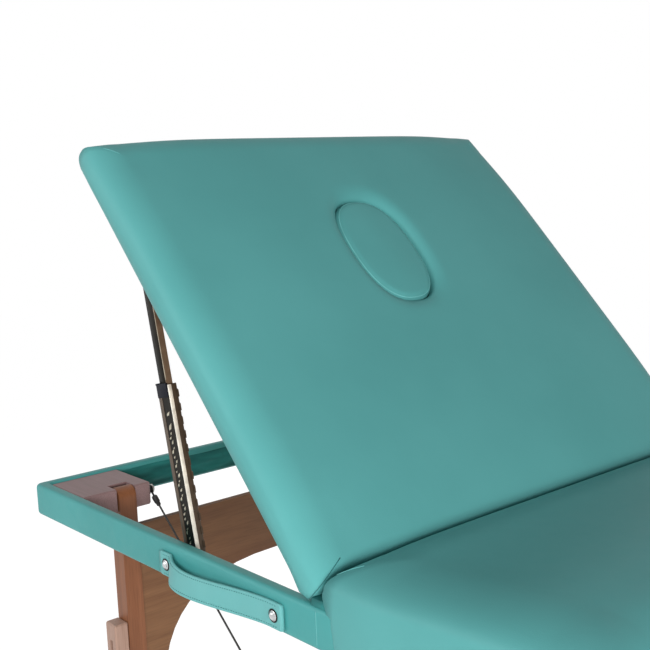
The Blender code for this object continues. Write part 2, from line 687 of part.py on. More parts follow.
def strut(where, across, frame_rail):
    """A telescopic ratchet strut: a channel on the rail's pin, and a bar that slides in it."""
    foot_place = Vector((STRUT_FOOT_X, across * STRUT_Y, STRUT_FOOT_Z))
    start = foot_place + Vector((0, across * (SIDE_INNER - STRUT_Y + EDGE_ROUND), 0))
    end = foot_place - Vector((0, across * (CHANNEL_WIDTH / 2 - GAP), 0))
    join(frame_rail, rod_helper(f"{where}_strut_pin", PIVOT_RADIUS, start, end, head))

    upward = Vector((-math.cos(BACKREST_TILT), 0, math.sin(BACKREST_TILT)))
    normal = Vector((math.sin(BACKREST_TILT), 0, math.cos(BACKREST_TILT)))
    hinge = Vector((HINGE_X, across * STRUT_Y, HINGE_Z))
    head_place = hinge + upward * STRUT_HEAD_FROM_HINGE - normal * STRUT_HEAD_DROP
    run = head_place - foot_place
    lean = math.atan2(run.x, run.z)
    closed = STRUT_HEAD_FROM_HINGE - STRUT_FOOT_FROM_HINGE
    carrier = body(f"{where}_strut", foot_place, None, lean)
    name = f"{where}_strut_channel"
    low = (-CHANNEL_DEPTH / 2, -CHANNEL_WIDTH / 2, -CHANNEL_TAIL)
    high = (CHANNEL_DEPTH / 2, CHANNEL_WIDTH / 2, CHANNEL_LENGTH)
    channel = add(name, box_mesh(name, low, high), STEEL, carrier)
    x_bore = CHANNEL_DEPTH / 2 - CHANNEL_EDGE_WALL
    y_bore = CHANNEL_WIDTH / 2 - CHANNEL_SIDE_WALL
    low = (-x_bore, -y_bore, -CHANNEL_TAIL - OVERCUT)
    bore = box_mesh(name + "_bore", low, (x_bore, y_bore, CHANNEL_LENGTH + OVERCUT))
    cut(channel, helper(name + "_bore", bore, carrier))
    reach = (-CHANNEL_WIDTH, CHANNEL_WIDTH)
    cut(channel, rod_in(name + "_eye", PIVOT_RADIUS + PIVOT_CLEARANCE, (0, 0), *reach, carrier))
    mouth = CHANNEL_MOUTH_WIDTH / 2
    y_low, y_high = sorted((0, -across * (CHANNEL_WIDTH / 2 + OVERCUT)))
    low = (-mouth, y_low, CHANNEL_LENGTH - CHANNEL_MOUTH_DEPTH)
    slot = box_mesh(name + "_mouth", low, (mouth, y_high, CHANNEL_LENGTH + OVERCUT))
    cut(channel, helper(name + "_mouth", slot, carrier))

    name = f"{where}_strut_bar"
    x_bar = x_bore - BAR_CLEARANCE
    y_bar = y_bore - BAR_CLEARANCE
    bar_length = closed - PIVOT_RADIUS - BAR_FOOT_CLEARANCE
    low = (-x_bar, -y_bar, run.length - bar_length)
    bar = add(name, box_mesh(name, low, (x_bar, y_bar, run.length + BAR_TOP)), STEEL, carrier)
    pin_end = LUG_GAP + lug_face() - STRUT_Y
    join(bar, rod_in(name + "_pin", STRUT_PIN_RADIUS, (0, run.length), 0, across * pin_end, carrier))


def lug_face():
    """The outer face of the lugs under the backrest, just inside the struts' channels."""
    return STRUT_Y - CHANNEL_WIDTH / 2 - LUG_GAP


def backrest():
    """Board, cushion, hinge leaf and face plug, modelled flat in the frame of the hinge and turned up."""
    carrier = body("backrest", (HINGE_X, 0, HINGE_Z), None, BACKREST_TILT)
    thick = DECK_THICKNESS / 2
    reach = SIDE_FACE - BOARD_MARGIN
    low = (-BACKREST_LENGTH + BOARD_MARGIN, -reach, -thick)
    mesh = box_mesh("backrest_board", low, (-BOARD_START, reach, thick))
    board = add("backrest_board", mesh, PLYWOOD, carrier)
    for where, across in SIDES.items():
        y_low, y_high = sorted((across * (lug_face() - LUG_THICKNESS), across * lug_face()))
        x_low = -STRUT_HEAD_FROM_HINGE - LUG_WIDTH / 2
        low = (x_low, y_low, -STRUT_HEAD_DROP - LUG_TAIL)
        name = f"{where}_strut_lug"
        lug = helper(name, box_mesh(name, low, (x_low + LUG_WIDTH, y_high, 0)), carrier)
        join(board, lug)
    hole = (FACE_HOLE_LENGTH - 2 * FACE_LEDGE, FACE_HOLE_WIDTH - 2 * FACE_LEDGE)
    cut(board, oval_helper("board_hole", *hole, -thick - OVERCUT, thick + OVERCUT, carrier))

    low = (-BACKREST_LENGTH, -SIDE_FACE, thick + GAP)
    high = (BACKREST_PAD_OVERHANG, SIDE_FACE, thick + GAP + PAD_THICKNESS)
    pad = cushion("backrest_pad", low, high, carrier)
    top = high[2] + PAD_CROWN + OVERCUT
    hole = (FACE_HOLE_LENGTH, FACE_HOLE_WIDTH)
    cut(pad, oval_helper("pad_hole", *hole, thick - OVERCUT, top, carrier))

    leaf = box_mesh(
        "backrest_hinge_leaf",
        (-HINGE_LEAF_WIDTH, -HINGE_LEAF_LENGTH / 2, -thick - GAP - HINGE_LEAF_THICKNESS),
        (0, HINGE_LEAF_LENGTH / 2, -thick - GAP),
    )
    leaf = add("backrest_hinge_leaf", leaf, STEEL, carrier)
    span_y = (-HINGE_LEAF_LENGTH / 2 - GAP, HINGE_LEAF_LENGTH / 2 + GAP)
    rod = rod_in("backrest_knuckle", HINGE_KNUCKLE_RADIUS, (0, 0), *span_y, carrier)
    join(leaf, rod)

    lift = body("face_plug_lift", (0, 0, 0))
    lift.parent = carrier
    face_plug(lift, thick + 2 * GAP)


def face_plug(carrier, bottom):
    """An oval plug with a soft top edge: a turned profile stretched into an oval."""
    top = bottom + PAD_THICKNESS
    profile = [
        (0, top),
        (0.5 - 3 * FACE_PLUG_EDGE / FACE_HOLE_WIDTH, top - FACE_PLUG_EDGE / 10),
        (0.5 - FACE_PLUG_EDGE / FACE_HOLE_WIDTH, top - FACE_PLUG_EDGE / 3),
        (0.5, top - FACE_PLUG_EDGE),
        (0.5, bottom),
        (0, bottom),
    ]
    mesh = bpy.data.meshes.new("face_plug")
    points = [(radius, 0, z) for radius, z in profile]
    mesh.from_pydata(points, [(i, i + 1) for i in range(len(points) - 1)], [])
    plug = add("face_plug", mesh, VINYL, carrier)
    plug.location = (-FACE_HOLE_CENTRE, 0, 0)
    plug.scale = (
        FACE_HOLE_LENGTH - 2 * FACE_PLUG_CLEARANCE,
        FACE_HOLE_WIDTH - 2 * FACE_PLUG_CLEARANCE,
        1,
    )
    turned = plug.modifiers.new("turned", "SCREW")
    turned.steps = OVAL_STEPS
    turned.render_steps = OVAL_STEPS
    turned.use_merge_vertices = True
    turned.merge_threshold = 0.0001


def build():
    for half, (carrier, side) in HALVES.items():
        made = rails(half, carrier, side)
        bearers(half, carrier, side, made["fold"])
        fold_leaf(half, carrier, side)
        handle(half, carrier, side)
        end_legs(half, carrier, side)
        inner_legs(half, carrier, side)
        for where, across in SIDES.items():
            leg_block(half, carrier, side, where, across)
            cable(half, carrier, side, where, across)
            if half == "head":
                strut(where, across, made[where])
    knuckle = HINGE_KNUCKLE_RADIUS + DECK_HINGE_CLEARANCE
    seat_edge = -HINGE_X - knuckle
    seat_pad_edge = -HINGE_X - SEAT_PAD_SETBACK
    top_of_half("head", head, -1, seat_edge, seat_pad_edge, "seat_pad", "seat_deck", SEAT_ROLL)
    top_of_half("foot", foot, 1, HALF_LENGTH, HALF_LENGTH, "foot_pad", "foot_deck", 0)
    backrest()


build()
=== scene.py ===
"""A folding massage table in teal vinyl with its backrest raised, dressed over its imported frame.

Metres, +Z up. X runs along the table with the head end at -X, and the handles are on the -Y side.
"""

import math

import bmesh
import bpy
import numpy as np
from mathutils import Matrix, Vector


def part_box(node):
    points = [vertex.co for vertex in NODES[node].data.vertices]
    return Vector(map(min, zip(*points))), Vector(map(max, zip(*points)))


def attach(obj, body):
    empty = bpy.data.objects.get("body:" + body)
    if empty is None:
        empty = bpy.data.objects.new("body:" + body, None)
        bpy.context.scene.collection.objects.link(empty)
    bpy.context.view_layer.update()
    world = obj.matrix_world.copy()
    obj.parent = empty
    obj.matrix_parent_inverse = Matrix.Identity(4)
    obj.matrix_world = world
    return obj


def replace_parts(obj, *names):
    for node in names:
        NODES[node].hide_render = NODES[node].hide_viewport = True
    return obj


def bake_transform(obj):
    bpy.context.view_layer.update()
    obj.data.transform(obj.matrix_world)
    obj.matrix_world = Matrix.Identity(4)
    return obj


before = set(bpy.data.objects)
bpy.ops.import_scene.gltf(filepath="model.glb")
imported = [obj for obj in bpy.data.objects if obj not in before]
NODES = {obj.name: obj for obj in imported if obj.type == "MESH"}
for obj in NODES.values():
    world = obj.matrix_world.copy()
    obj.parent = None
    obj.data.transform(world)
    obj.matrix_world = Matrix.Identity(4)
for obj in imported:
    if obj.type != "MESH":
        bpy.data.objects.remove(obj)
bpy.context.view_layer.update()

# Places shared with the part
RAIL_TOP = 0.641
RAIL_BOTTOM = 0.596
HALF_LENGTH = 1.000
SIDE_FACE = 0.350
SIDE_INNER = 0.332
END_INNER = 0.982
HINGE_X = -0.389
HINGE_Z = 0.6456
TILT = math.radians(47.1)
PAD_BOTTOM = 0.6496
PAD_THICKNESS = 0.0505
BACK_PAD_BOTTOM = 0.0043
END_PIVOT = (0.894, 0.625)
INNER_PIVOT = (0.270, 0.610)
HANDLE_FROM_FOLD = 0.531
SIDES = {"near": -1, "far": 1}
HALVES = {"head": -1, "foot": 1}

scene = bpy.context.scene
scene.view_settings.view_transform = "Standard"


# Camera, light and floor

SENSOR_WIDTH = 36.0
IMAGE_WIDTH = 650
FLOOR_REACH = 8.0


def look_from(place, azimuth, elevation, roll, focal_pixels):
    """A camera at that place. Azimuth 0 looks along +Y, and the angles are in degrees."""
    az = math.radians(azimuth)
    el = math.radians(elevation)
    back = Vector((math.sin(az) * math.cos(el), -math.cos(az) * math.cos(el), math.sin(el)))
    right = Vector((0, 0, 1)).cross(back).normalized()
    up = back.cross(right)
    turn = math.radians(roll)
    across = math.cos(turn) * right + math.sin(turn) * up
    upward = math.cos(turn) * up - math.sin(turn) * right
    data = bpy.data.cameras.new("camera")
    data.sensor_fit = "HORIZONTAL"
    data.sensor_width = SENSOR_WIDTH
    data.lens = SENSOR_WIDTH * focal_pixels / IMAGE_WIDTH
    data.clip_start = 0.02
    data.clip_end = 50
    camera = bpy.data.objects.new("camera", data)
    scene.collection.objects.link(camera)
    camera.matrix_world = Matrix((
        (across.x, upward.x, back.x, place[0]),
        (across.y, upward.y, back.y, place[1]),
        (across.z, upward.z, back.z, place[2]),
        (0, 0, 0, 1),
    ))
    scene.camera = camera


look_from((0.4210, -0.9716, 1.0652), azimuth=50.244, elevation=8.084, roll=-2.527, focal_pixels=1060.19)


def lamp(name, place, target, size, power):
    """A soft lamp of that size in metres, aimed at the target, with its power in watts."""
    data = bpy.data.lights.new(name, "AREA")
    data.shape = "RECTANGLE"
    data.size, data.size_y = size
    data.energy = power
    light = bpy.data.objects.new(name, data)
    scene.collection.objects.link(light)
    light.location = place
    aim = Vector(target) - Vector(place)
    light.rotation_euler = aim.to_track_quat("-Z", "Y").to_euler()
    return light


key = lamp("key", (1.95, -1.65, 1.12), (-0.5, 0, 0.85), (1.9, 0.7), 90)
key.visible_glossy = False
lamp("edge", (-1.05, -2.2, 1.85), (-0.6, -0.3, 0.9), (1.0, 0.9), 15)
lamp("side", (-2.0, -2.0, 1.30), (-0.7, -0.3, 0.85), (1.1, 1.1), 10)
back = lamp("back", (-2.5, 2.2, 0.80), (-0.3, 0, 0.55), (1.6, 1.2), 45)
back.visible_glossy = False


def shader_of(material):
    return material.node_tree.nodes["Principled BSDF"]


def new_material(name, colour, roughness, metallic=0.0):
    """A plain Principled material, for a look to build on."""
    material = bpy.data.materials.new(name)
    material.use_nodes = True
    shader = shader_of(material)
    shader.inputs["Base Color"].default_value = (*colour, 1)
    shader.inputs["Roughness"].default_value = roughness
    shader.inputs["Metallic"].default_value = metallic
    return material


def seen_as_white(tree, shader, output, strength=1.0, share=1.0):
    """Camera, mirror and glass rays see that share of plain white there, and other rays the shader."""
    path = tree.nodes.new("ShaderNodeLightPath")
    first = tree.nodes.new("ShaderNodeMath")
    first.operation = "MAXIMUM"
    tree.links.new(path.outputs["Is Camera Ray"], first.inputs[0])
    tree.links.new(path.outputs["Is Glossy Ray"], first.inputs[1])
    second = tree.nodes.new("ShaderNodeMath")
    second.operation = "MAXIMUM"
    tree.links.new(first.outputs[0], second.inputs[0])
    tree.links.new(path.outputs["Is Transmission Ray"], second.inputs[1])
    white = tree.nodes.new("ShaderNodeBackground" if output.type == "OUTPUT_WORLD" else "ShaderNodeEmission")
    white.inputs["Color"].default_value = (1, 1, 1, 1)
    white.inputs["Strength"].default_value = strength
    part = tree.nodes.new("ShaderNodeMath")
    part.operation = "MULTIPLY"
    part.inputs[1].default_value = share
    tree.links.new(second.outputs[0], part.inputs[0])
    mix = tree.nodes.new("ShaderNodeMixShader")
    tree.links.new(part.outputs[0], mix.inputs[0])
    tree.links.new(shader.outputs[0], mix.inputs[1])
    tree.links.new(white.outputs[0], mix.inputs[2])
    tree.links.new(mix.outputs[0], output.inputs["Surface"])


def surroundings():
    """A white studio with a pale floor, which keeps the object's shadow."""
    world = bpy.data.worlds.new("studio")
    scene.world = world
    world.use_nodes = True
    tree = world.node_tree
    air = tree.nodes["Background"]
    air.inputs["Color"].default_value = (0.93, 0.96, 1.0, 1)
    air.inputs["Strength"].default_value = 0.07
    seen_as_white(tree, air, tree.nodes["World Output"])
    mesh = bpy.data.meshes.new("floor")
    corners = [(FLOOR_REACH * x, FLOOR_REACH * y, 0) for x, y in ((-1, -1), (1, -1), (1, 1), (-1, 1))]
    mesh.from_pydata(corners, [], [(0, 1, 2, 3)])
    floor = bpy.data.objects.new("floor", mesh)
    scene.collection.objects.link(floor)
    ground = new_material("floor", (0.86, 0.86, 0.85), 0.8)
    mesh.materials.append(ground)
    tree = ground.node_tree
    seen_as_white(tree, shader_of(ground), tree.nodes["Material Output"], strength=1.14, share=0.86)


surroundings()


# Materials

class Nodes:
    """Short names for the nodes of one material."""

    def __init__(self, material):
        self.tree = material.node_tree
        self.shader = shader_of(material)

    def node(self, kind, **values):
        made = self.tree.nodes.new("ShaderNode" + kind)
        for name, value in values.items():
            made.inputs[name.replace("_", " ")].default_value = value
        return made

    def link(self, start, end):
        self.tree.links.new(start, end)

    def place(self, scale=(1, 1, 1)):
        """Points in the piece's own frame, stretched by scale."""
        where = self.node("TexCoord")
        stretch = self.node("Mapping")
        stretch.inputs["Scale"].default_value = scale
        self.link(where.outputs["Object"], stretch.inputs["Vector"])
        return stretch.outputs["Vector"]

    def noise(self, scale, detail=2.0, stretch=(1, 1, 1), distortion=0.0):
        made = self.node("TexNoise", Scale=scale, Detail=detail, Distortion=distortion)
        self.link(self.place(stretch), made.inputs["Vector"])
        return made.outputs["Fac"]

    def cells(self, scale):
        made = self.node("TexVoronoi", Scale=scale)
        self.link(self.place(), made.inputs["Vector"])
        return made.outputs["Distance"]

    def ramp(self, value, *stops):
        made = self.node("ValToRGB")
        band = made.color_ramp
        while len(band.elements) < len(stops):
            band.elements.new(0.5)
        for element, (position, colour) in zip(band.elements, stops):
            element.position = position
            element.color = (*colour, 1)
        self.link(value, made.inputs["Fac"])
        return made.outputs["Color"]

    def range(self, value, low, high):
        made = self.node("MapRange", To_Min=low, To_Max=high)
        self.link(value, made.inputs["Value"])
        return made.outputs["Result"]

    def bump(self, value, strength, distance, under=None):
        made = self.node("Bump", Strength=strength, Distance=distance)
        self.link(value, made.inputs["Height"])
        if under:
            self.link(under, made.inputs["Normal"])
        return made.outputs["Normal"]

    def finish(self, colour=None, roughness=None, normal=None):
        for value, socket in ((colour, "Base Color"), (roughness, "Roughness"), (normal, "Normal")):
            if value:
                self.link(value, self.shader.inputs[socket])


def vinyl(name, light, dark, wrinkles, roughness=(0.44, 0.56), gloss=0.30, drift=(5.0, (1, 1, 1))):
    """Upholstery vinyl: fine leather grain, soft creases and a drift of its colour.

    drift is the scale of that drift and its stretch along each axis.
    """
    material = new_material(name, light, roughness[0])
    n = Nodes(material)
    n.shader.inputs["Specular IOR Level"].default_value = gloss
    n.shader.inputs["Coat Weight"].default_value = 0.06
    n.shader.inputs["Coat Roughness"].default_value = 0.35
    colour = n.ramp(n.noise(drift[0], 3.0, drift[1]), (0.34, dark), (0.66, light))
    rough = n.range(n.noise(60.0, 3.0), *roughness)
    creases = n.bump(n.noise(24.0, 3.0, (1, 1, 1), 0.8), wrinkles, 0.006)
    grain = n.bump(n.cells(900.0), 0.10, 0.0006, creases)
    pores = n.bump(n.noise(2200.0, 1.0), 0.05, 0.0003, grain)
    n.finish(colour, rough, pores)
    return material


def wood(name, light, dark, grain_axis, fineness=1.0, roughness=(0.42, 0.6)):
    """Planed wood: long grain along one axis, short pores and a satin finish."""
    material = new_material(name, light, roughness[0])
    n = Nodes(material)
    long = [6.0, 6.0, 6.0]
    long[grain_axis] = 0.35
    short = [70.0, 70.0, 70.0]
    short[grain_axis] = 3.0
    bands = n.noise(6.0 * fineness, 5.0, long, 1.2)
    pores = n.noise(8.0 * fineness, 3.0, short)
    middle = tuple((a + b) / 2 for a, b in zip(light, dark))
    base = n.ramp(bands, (0.32, dark), (0.50, middle), (0.66, light))
    flecks = n.ramp(pores, (0.36, (0.72, 0.68, 0.64)), (0.55, (1.0, 1.0, 1.0)))
    mix = n.node("Mix")
    mix.data_type = "RGBA"
    mix.blend_type = "MULTIPLY"
    mix.inputs["Factor"].default_value = 0.55
    n.link(base, mix.inputs["A"])
    n.link(flecks, mix.inputs["B"])
    rough = n.range(pores, *roughness)
    n.finish(mix.outputs["Result"], rough, n.bump(pores, 0.10, 0.0006))
    return material


def metal(name, colour, roughness, wear=0.12, metallic=1.0):
    """Plated steel with fine drawing lines and a little tarnish."""
    material = new_material(name, colour, roughness, metallic)
    n = Nodes(material)
    dull = tuple(c * 0.72 for c in colour)
    tint = n.ramp(n.noise(90.0, 4.0), (0.35, dull), (0.65, colour))
    rough = n.range(n.noise(300.0, 3.0, (1, 1, 0.1)), roughness, roughness + wear)
    n.finish(tint, rough, n.bump(n.noise(700.0, 1.0, (1, 1, 0.05)), 0.04, 0.0002))
    return material


def moulded(name, colour, roughness, grain=500.0, depth=0.0003, gloss=0.5):
    """Moulded plastic, rubber or sewn lines with a fine matt grain."""
    material = new_material(name, colour, roughness)
    n = Nodes(material)
    n.shader.inputs["Specular IOR Level"].default_value = gloss
    pale = tuple(min(1.0, c * 1.25 + 0.004) for c in colour)
    tint = n.ramp(n.noise(45.0, 3.0), (0.35, colour), (0.70, pale))
    rough = n.range(n.noise(grain, 2.0), roughness - 0.06, roughness + 0.08)
    n.finish(tint, rough, n.bump(n.noise(grain, 2.0), 0.12, depth))
    return material


TEAL = (0.106, 0.368, 0.362)
TEAL_DEEP = (0.095, 0.340, 0.334)
LOOKS = {
    "vinyl": vinyl("vinyl", TEAL, TEAL_DEEP, 0.07, (0.46, 0.58), 0.12),
    "wrapped": vinyl("wrapped_vinyl", (0.062, 0.320, 0.314), (0.050, 0.274, 0.268), 0.16),
    # Vinyl in painted shade: the teal made much darker and streaked along its folds, for the shaded hems and
    # the shadow gaps by the seat
    "painted_shade": vinyl("painted_shade_vinyl", (0.032, 0.250, 0.238), (0.012, 0.092, 0.090), 0.55, (0.50, 0.66), 0.15,
                    (9.0, (1, 0.9, 5.0))),
    # The strap's teal, lighter and paler with a painted sheen
    "strap": vinyl("strap_vinyl_and_sheen", (0.145, 0.425, 0.420), (0.112, 0.365, 0.360), 0.20),
    # Seam lines in a lighter teal, a painted highlight on rims and creases
    "thread": moulded("thread", (0.150, 0.455, 0.445), 0.62, 1800.0),
    "seam": moulded("seam", (0.026, 0.150, 0.150), 0.60, 1500.0),
    "beech": wood("beech", (0.246, 0.096, 0.043), (0.184, 0.066, 0.027), 2),
    "pale": wood("pale_beech", (0.425, 0.278, 0.218), (0.370, 0.226, 0.172), 2, 0.8),
    "pale_across": wood("pale_block", (0.268, 0.178, 0.180), (0.226, 0.142, 0.144), 0, 0.8),
    "panel": wood("panel_veneer", (0.222, 0.110, 0.050), (0.172, 0.078, 0.034), 1, 1.2),
    "plywood": wood("plywood", (0.480, 0.320, 0.185), (0.390, 0.245, 0.135), 0, 1.1),
    # A painted highlight on the channel's rounded fold
    "fold_highlight": metal("strut_fold_highlight", (0.88, 0.84, 0.74), 0.30, 0.12, 0.15),
    # A painted highlight on the bar's edge
    "line": metal("strut_edge_highlight", (0.46, 0.42, 0.33), 0.35, 0.12, 0.3),
    # The bar's warm metal, darkened as a painted reflection of dark surroundings
    "bar_reflection_tone": metal("strut_bar", (0.190, 0.130, 0.086), 0.40, 0.12, 0.25),
    # A dark brown painted reflection on the channel's +X face, its lip and its notches
    "brown_reflection": metal("strut_brown", (0.088, 0.062, 0.042), 0.40, 0.12, 0.3),
    # Near-black steel, painted shade on the channel's and bar's near faces and round the strap screws
    "shaded_steel": metal("strut_channel", (0.016, 0.014, 0.011), 0.34),
    # Painted highlights on the ratchet teeth
    "glint": metal("ratchet_glint", (0.62, 0.57, 0.45), 0.24),
    "cap": moulded("strut_cap", (0.004, 0.005, 0.010), 0.50, 500.0, 0.0003, 0.12),
    "zinc": metal("zinc", (0.72, 0.73, 0.74), 0.22),
    "steel": metal("hinge_steel", (0.50, 0.49, 0.47), 0.34),
    "black": moulded("black_plastic", (0.013, 0.013, 0.014), 0.42),
    "rubber": moulded("rubber", (0.022, 0.021, 0.020), 0.70, 260.0, 0.0006),
    "cable": moulded("cable_jacket", (0.012, 0.012, 0.012), 0.38, 900.0),
}


def paint(nodes, look):
    """Gives CAD parts that stay as they are their look."""
    for name in nodes:
        mesh = NODES[name].data
        mesh.materials.clear()
        mesh.materials.append(LOOKS[look])


def matching(*endings):
    return [name for name in NODES if name.endswith(endings)]


paint(matching("_leg"), "beech")
paint(matching("_extension"), "pale")
paint(matching("_leg_block"), "pale_across")
paint(matching("_arch_panel", "_cross_board"), "panel")
paint(matching("_deck", "backrest_board"), "plywood")
paint(matching("_leaf"), "steel")
# The bar's dark warm tone is a painted reflection
paint(matching("_strut_bar"), "bar_reflection_tone")
# The channel's near face is near black, painted shade
paint(matching("_strut_channel"), "shaded_steel")
paint(matching("_knob"), "black")
paint(matching("_fold_rail"), "wrapped")


# Mesh helpers

def piece(name, mesh, look, body, smooth=True):
    """A visible piece with its look, which rides on a body if one is given."""
    made = bpy.data.objects.new(name, mesh)
    scene.collection.objects.link(made)
    mesh.materials.clear()
    mesh.materials.append(LOOKS[look])
    if smooth:
        mesh.shade_smooth()
    if body:
        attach(made, body)
    return made


def tidy(mesh):
    """Turns the faces of a closed mesh outwards."""
    shape = bmesh.new()
    shape.from_mesh(mesh)
    bmesh.ops.recalc_face_normals(shape, faces=shape.faces)
    shape.to_mesh(mesh)
    shape.free()
    return mesh


def skin(name, rings, ends=None, around=False):
    """A closed mesh through rings of equal length. ends are points that close its first and last ring."""
    count = len(rings[0])
    points = [tuple(p) for ring in rings for p in ring]
    faces = []
    total = len(rings)
    for i in range(total if around else total - 1):
        a = i * count
        b = (i + 1) % total * count
        for j in range(count):
            k = (j + 1) % count
            faces.append((a + j, a + k, b + k, b + j))
    if ends:
        for tip, first in ((ends[0], 0), (ends[1], (total - 1) * count)):
            points.append(tuple(tip))
            faces += [(len(points) - 1, first + j, first + (j + 1) % count) for j in range(count)]
    mesh = bpy.data.meshes.new(name)
    mesh.from_pydata(points, [], faces)
    return tidy(mesh)


def rounded_outline(low, high, radius, step=0.012, corner_steps=10):
    """Base points and outward directions round a rectangle with round corners, so that an inset d is at
    base + (radius - d) * direction."""
    bases = []
    directions = []
    corners = [(high[0], high[1], 0), (low[0], high[1], 1), (low[0], low[1], 2), (high[0], low[1], 3)]
    for index, (x, y, quarter) in enumerate(corners):
        centre = np.array((x - radius * np.sign(x - (low[0] + high[0]) / 2),
                           y - radius * np.sign(y - (low[1] + high[1]) / 2)))
        for k in range(corner_steps + 1):
            turn = math.pi / 2 * (quarter + k / corner_steps)
            bases.append(centre)
            directions.append((math.cos(turn), math.sin(turn)))
        after = corners[(index + 1) % 4]
        end = np.array((after[0] - radius * np.sign(after[0] - (low[0] + high[0]) / 2),
                        after[1] - radius * np.sign(after[1] - (low[1] + high[1]) / 2)))
        count = max(2, round(float(np.linalg.norm(end - centre)) / step))
        for k in range(1, count):
            bases.append(centre + (end - centre) * k / count)
            directions.append(directions[-1])
    return np.array(bases), np.array(directions)


def arc(count, first=False):
    """A quarter turn in equal steps, with its start if first is set."""
    return [math.pi / 2 * k / count for k in range(0 if first else 1, count + 1)]


def tube(name, route, radius, look, body, sides=8, closed=False, squash=1.0):
    """A smooth tube along a route of points."""
    route = [Vector(p) for p in route]
    rings = []
    side = None
    for i, p in enumerate(route):
        before = route[i - 1] if i or closed else p
        after = route[(i + 1) % len(route)] if i + 1 < len(route) or closed else p
        run = (after - before).normalized()
        if side is None:
            side = run.orthogonal().normalized()
        side = (side - run * side.dot(run)).normalized()
        other = run.cross(side)
        ring = []
        for k in range(sides):
            turn = 2 * math.pi * k / sides
            ring.append(p + side * (radius * math.cos(turn)) + other * (radius * squash * math.sin(turn)))
        rings.append(ring)
    ends = None if closed else (route[0], route[-1])
    return piece(name, skin(name, rings, ends, closed), look, body)


def turned(name, profile, place, axis, look, body, steps=24):
    """A turned piece: profile is (radius, height) from its base up, along axis from place."""
    aim = Vector((0, 0, 1)).rotation_difference(Vector(axis)).to_matrix()
    place = Vector(place)
    rings = []
    for radius, height in profile:
        ring = []
        for k in range(steps):
            turn = 2 * math.pi * k / steps
            ring.append(place + aim @ Vector((radius * math.cos(turn), radius * math.sin(turn), height)))
        rings.append(ring)
    ends = [place + aim @ Vector((0, 0, profile[i][1])) for i in (0, -1)]
    return piece(name, skin(name, rings, ends), look, body)


def block(name, low, high, look, body, edge=0.002, steps=3, matrix=None):
    """A box with rounded edges."""
    shape = bmesh.new()
    bmesh.ops.create_cube(shape, size=1.0)
    for vertex in shape.verts:
        for axis in range(3):
            vertex.co[axis] = low[axis] + (vertex.co[axis] + 0.5) * (high[axis] - low[axis])
    bmesh.ops.bevel(shape, geom=shape.edges[:], offset=edge, segments=steps, affect="EDGES", profile=0.5)
    if matrix:
        bmesh.ops.transform(shape, matrix=matrix, verts=shape.verts)
    mesh = bpy.data.meshes.new(name)
    shape.to_mesh(mesh)
    shape.free()
    return piece(name, mesh, look, body)


def joined(name, meshes, look, body):
    """Several meshes as one piece."""
    shape = bmesh.new()
    for mesh in meshes:
        shape.from_mesh(mesh)
        bpy.data.meshes.remove(mesh)
    mesh = bpy.data.meshes.new(name)
    shape.to_mesh(mesh)
    shape.free()
    return piece(name, mesh, look, body)


# Cushions

BACKREST = Matrix.Translation((HINGE_X, 0, HINGE_Z)) @ Matrix.Rotation(TILT, 4, "Y")
FACE_HOLE = (-0.387, 0.0885, 0.0585)
HOLE_RADIUS = 0.07
HOLE_LIP_WIDTH = 0.020
HOLE_LIP_DEPTH = 0.0125
OVAL_POWER = 2.45
CROWN = 0.004
SIDE_SWELL = 0.0014
PAD_OVERHANG = 0.0030

# How far a pad's round corners are filled out, at its shoulder and at its base
SHOULDER_FILL = 0.72
BASE_FILL = 0.80


def oval(turns, length, width):
    """Points round the face hole, on an oval with full shoulders."""
    c, s = np.cos(turns), np.sin(turns)
    power = 2 / OVAL_POWER
    return np.column_stack((
        FACE_HOLE[0] + length * np.sign(c) * np.abs(c) ** power, width * np.sign(s) * np.abs(s) ** power
    ))


